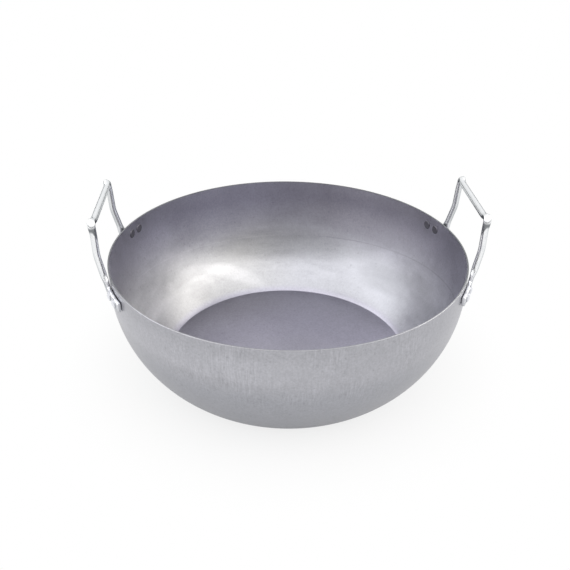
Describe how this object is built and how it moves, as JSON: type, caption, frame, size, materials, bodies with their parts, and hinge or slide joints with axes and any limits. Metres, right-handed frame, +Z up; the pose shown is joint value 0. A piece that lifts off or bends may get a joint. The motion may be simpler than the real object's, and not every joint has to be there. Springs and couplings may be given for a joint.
{
  "type": "deep fry pot",
  "caption": "Open round pressed-steel deep frying pot with a flat base, a rounded wall and a bent rod handle riveted to each side of its rim.",
  "frame": {"origin": "centre of the flat base's underside", "axes": "+Z up out of the mouth, +X towards the right handle, +Y towards the rear"},
  "size_m": [0.3746, 0.36, 0.1838],
  "materials": {
    "raw_steel": "bare satin iron sheet, slightly violet grey",
    "zinc_plate": "bright zinc plate",
    "rivet_steel": "bright outer heads, darkened inner heads"
  },
  "bodies": {
    "root": {"pot_body": "raw_steel", "handle_right": "zinc_plate", "handle_left": "zinc_plate", "rivet_right_front_1": "rivet_steel", "rivet_right_front_2": "rivet_steel", "rivet_right_rear_1": "rivet_steel", "rivet_right_rear_2": "rivet_steel", "rivet_left_front_1": "rivet_steel", "rivet_left_front_2": "rivet_steel", "rivet_left_rear_1": "rivet_steel", "rivet_left_rear_2": "rivet_steel"}
  },
  "joints": []
}
